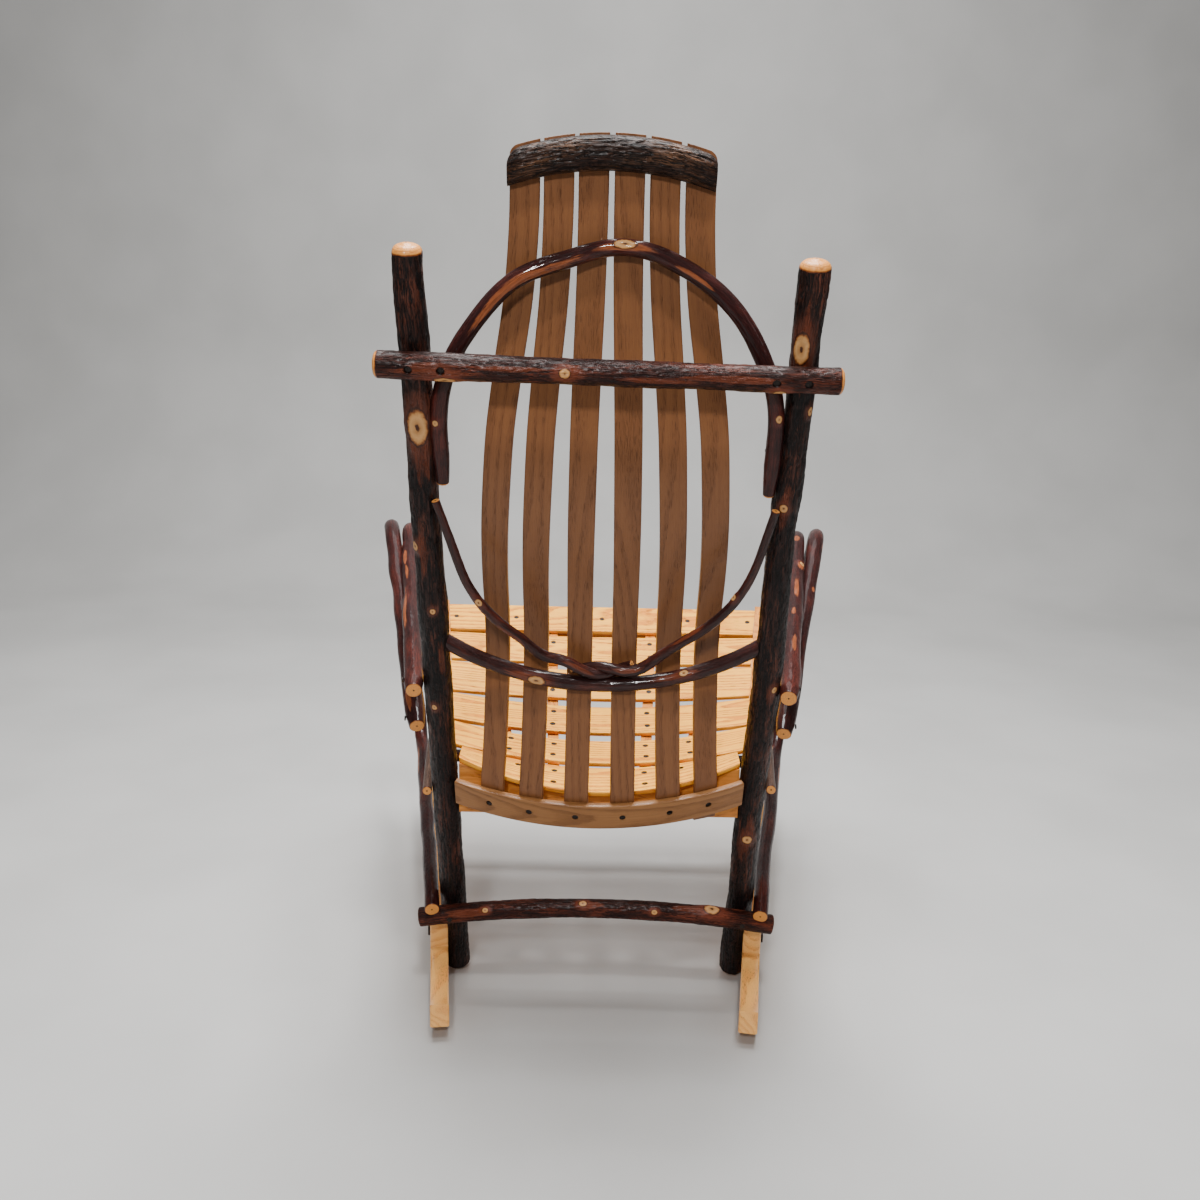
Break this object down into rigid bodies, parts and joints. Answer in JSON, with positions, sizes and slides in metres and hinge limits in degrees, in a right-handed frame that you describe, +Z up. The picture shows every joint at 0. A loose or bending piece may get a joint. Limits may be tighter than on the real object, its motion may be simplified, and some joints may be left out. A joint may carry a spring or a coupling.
{
  "type": "hickory rocking chair",
  "caption": "Rustic rocking chair of bark-covered bent hickory sticks with a high back and a dished seat of bent oak slats on curved oak rockers.",
  "frame": {"origin": "centre of the chair's footprint, on the floor where the rockers touch", "axes": "+Z up, +Y from the front of the seat to the back, +X toward the sitter's left"},
  "size_m": [0.7268, 0.9091, 1.1169],
  "materials": {
    "rocker_oak": "varnished oak",
    "post_bark": "dark hickory bark, varnished",
    "rough_bark": "rough hickory bark, varnished",
    "smooth_bark": "smooth hickory bark with peeled streaks, varnished",
    "back_oak": "varnished oak",
    "seat_oak": "varnished oak",
    "frame_oak": "varnished oak",
    "steel": "dark blued"
  },
  "bodies": {
    "root": {"arm_left": "smooth_bark", "arm_right": "smooth_bark", "back_hoop": "smooth_bark", "back_post_left": "post_bark", "back_post_right": "post_bark", "back_slat_1": "back_oak", "back_slat_2": "back_oak", "back_slat_3": "back_oak", "back_slat_4": "back_oak", "back_slat_5": "back_oak", "back_slat_6": "back_oak", "bar_screws": "steel", "crest": "rough_bark", "crest_screws": "steel", "cross_bar": "rough_bark", "frame_bolts": "steel", "frame_nails": "steel", "front_stretcher": "rough_bark", "lower_back_rail": "back_oak", "lumbar_bow": "smooth_bark", "lumbar_stick_left": "smooth_bark", "lumbar_stick_right": "smooth_bark", "rail_screws": "steel", "rear_stretcher": "rough_bark", "rocker_left": "rocker_oak", "rocker_right": "rocker_oak", "seat_bearer_1": "frame_oak", "seat_bearer_2": "frame_oak", "seat_bearer_3": "frame_oak", "seat_bearer_4": "frame_oak", "seat_front_rail": "frame_oak", "seat_rear_rail": "frame_oak", "seat_screws": "steel", "seat_side_rail_left": "frame_oak", "seat_side_rail_right": "frame_oak", "seat_side_stick_left": "smooth_bark", "seat_side_stick_right": "smooth_bark", "seat_slat_1": "seat_oak", "seat_slat_2": "seat_oak", "seat_slat_3": "seat_oak", "seat_slat_4": "seat_oak", "seat_slat_5": "seat_oak", "seat_slat_6": "seat_oak", "side_hoop_left": "smooth_bark", "side_hoop_right": "smooth_bark"}
  },
  "joints": []
}
